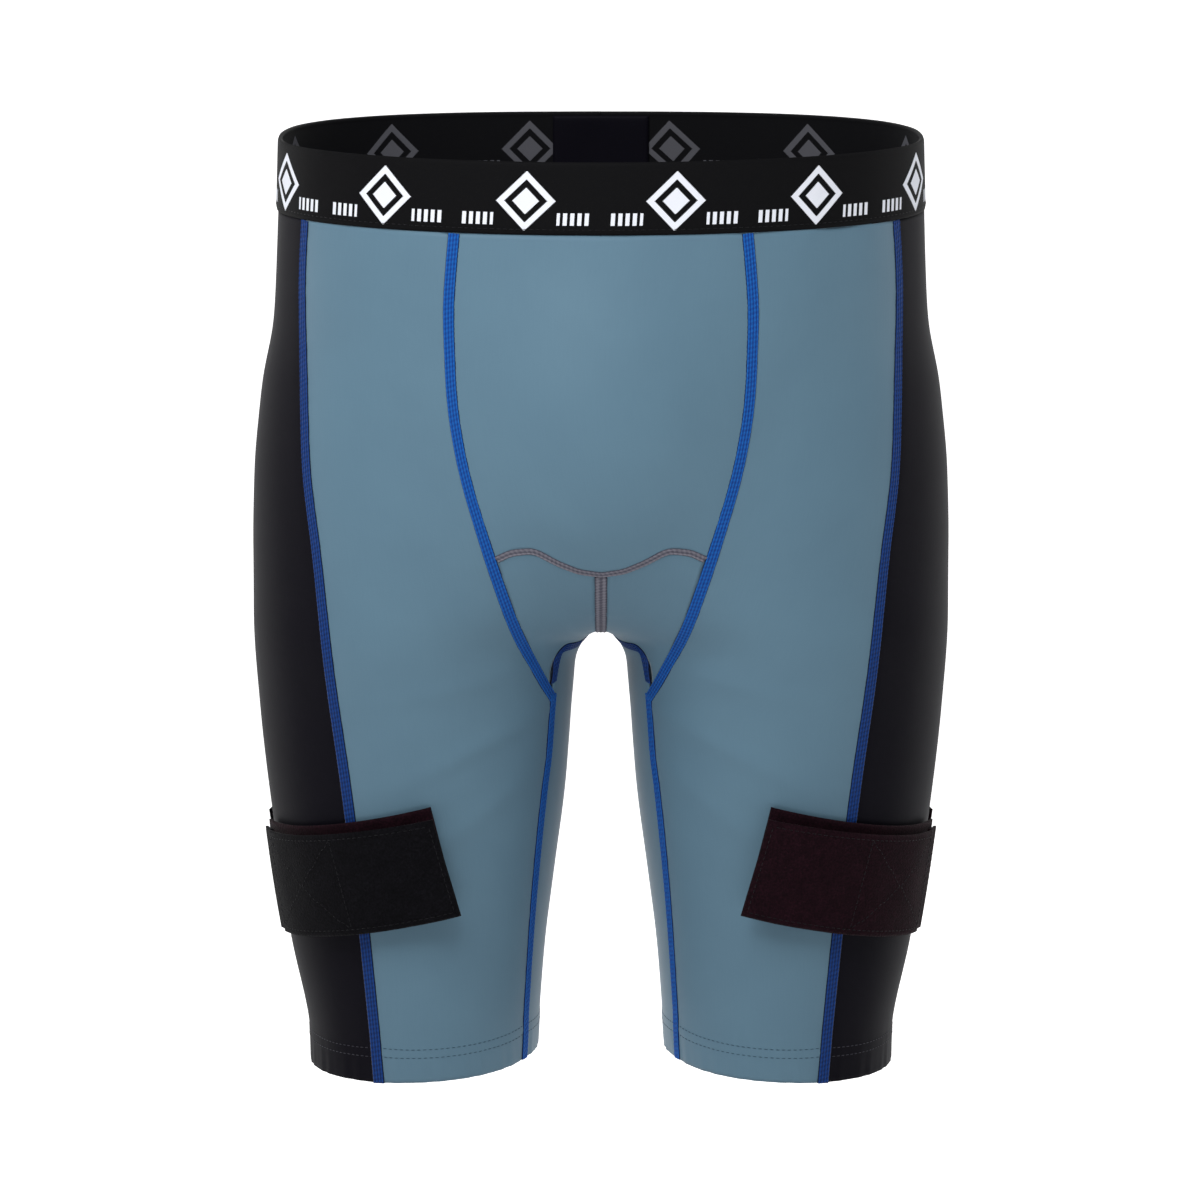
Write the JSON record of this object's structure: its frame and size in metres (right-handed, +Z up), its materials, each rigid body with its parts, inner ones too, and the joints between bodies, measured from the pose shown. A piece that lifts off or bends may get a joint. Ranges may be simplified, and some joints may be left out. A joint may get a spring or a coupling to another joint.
{
  "type": "compression shorts",
  "caption": "Stretch compression shorts with a wide waist elastic, flatlock seams, a front pouch holding a removable protective cup, and hinged hook-and-loop sock tabs on the thighs.",
  "frame": {"origin": "centre of the waist opening, in the plane of the waistband's top edge", "axes": "+X to the wearer's left, +Y to the back, +Z up"},
  "size_m": [0.3818, 0.2856, 0.514],
  "materials": {
    "slate_knit": "smooth slate-blue warp knit with a soft sheen",
    "black_knit": "smooth black warp knit",
    "waist_elastic": "black woven elastic with a pale grey woven motif",
    "royal_thread": "royal blue flatlock stitching",
    "grey_thread": "grey flatlock stitching",
    "loop_pile": "fuzzy dark loop pile",
    "tab_webbing": "black woven tab tape",
    "hook_tape": "black moulded hook tape",
    "cup_plastic": "white moulded polypropylene",
    "cup_rubber": "soft dark moulded edge"
  },
  "bodies": {
    "shorts": {"pouch_upper_panel": "slate_knit", "pouch_lower_panel_left": "slate_knit", "pouch_lower_panel_right": "slate_knit", "front_thigh_panel_left": "slate_knit", "front_thigh_panel_right": "slate_knit", "back_panel_left": "slate_knit", "back_panel_right": "slate_knit", "cup_pocket_liner": "slate_knit", "side_panel_left": "black_knit", "side_panel_right": "black_knit", "waistband": "waist_elastic", "waistband_join": "waist_elastic", "pouch_seam_left": "royal_thread", "pouch_seam_right": "royal_thread", "inseam_left": "royal_thread", "inseam_right": "royal_thread", "side_seam_front_left": "royal_thread", "side_seam_front_right": "royal_thread", "side_seam_back_left": "royal_thread", "side_seam_back_right": "royal_thread", "crotch_seam_left": "royal_thread", "crotch_seam_right": "royal_thread", "seat_seam": "royal_thread", "pocket_seam": "grey_thread", "pouch_centre_seam": "grey_thread", "pocket_mouth_binding": "black_knit", "front_tab_base_left": "loop_pile", "front_tab_base_right": "loop_pile", "front_tab_sewn_end_left": "tab_webbing", "front_tab_sewn_end_right": "tab_webbing", "rear_tab_base_left": "loop_pile", "rear_tab_base_right": "loop_pile", "rear_tab_sewn_end_left": "tab_webbing", "rear_tab_sewn_end_right": "tab_webbing"},
    "cup": {"cup_shell": "cup_plastic", "cup_edge_pad": "cup_rubber"},
    "front_tab_left": {"front_tab_flap_left": "tab_webbing", "front_tab_hook_left": "hook_tape"},
    "front_tab_right": {"front_tab_flap_right": "tab_webbing", "front_tab_hook_right": "hook_tape"},
    "rear_tab_left": {"rear_tab_flap_left": "tab_webbing", "rear_tab_hook_left": "hook_tape"},
    "rear_tab_right": {"rear_tab_flap_right": "tab_webbing", "rear_tab_hook_right": "hook_tape"}
  },
  "joints": [
    {"name": "cup_slide", "type": "slide", "parent": "shorts", "child": "cup", "axis": [0, 0.1386, 0.9903], "range_m": [0, 0.15]},
    {"name": "front_tab_left_hinge", "type": "hinge", "parent": "shorts", "child": "front_tab_left", "pos_m": [0.17779, -0.03642, -0.4058], "axis": [0.1504, 0.0391, 0.9879], "range_deg": [0, 150]},
    {"name": "front_tab_right_hinge", "type": "hinge", "parent": "shorts", "child": "front_tab_right", "pos_m": [-0.17779, -0.03642, -0.4058], "axis": [0.1504, -0.0391, -0.9879], "range_deg": [0, 150]},
    {"name": "rear_tab_left_hinge", "type": "hinge", "parent": "shorts", "child": "rear_tab_left", "pos_m": [0.17805, 0.0386, -0.40587], "axis": [-0.1516, 0.0372, -0.9877], "range_deg": [0, 150]},
    {"name": "rear_tab_right_hinge", "type": "hinge", "parent": "shorts", "child": "rear_tab_right", "pos_m": [-0.17805, 0.0386, -0.40587], "axis": [-0.1516, -0.0372, 0.9877], "range_deg": [0, 150]}
  ]
}
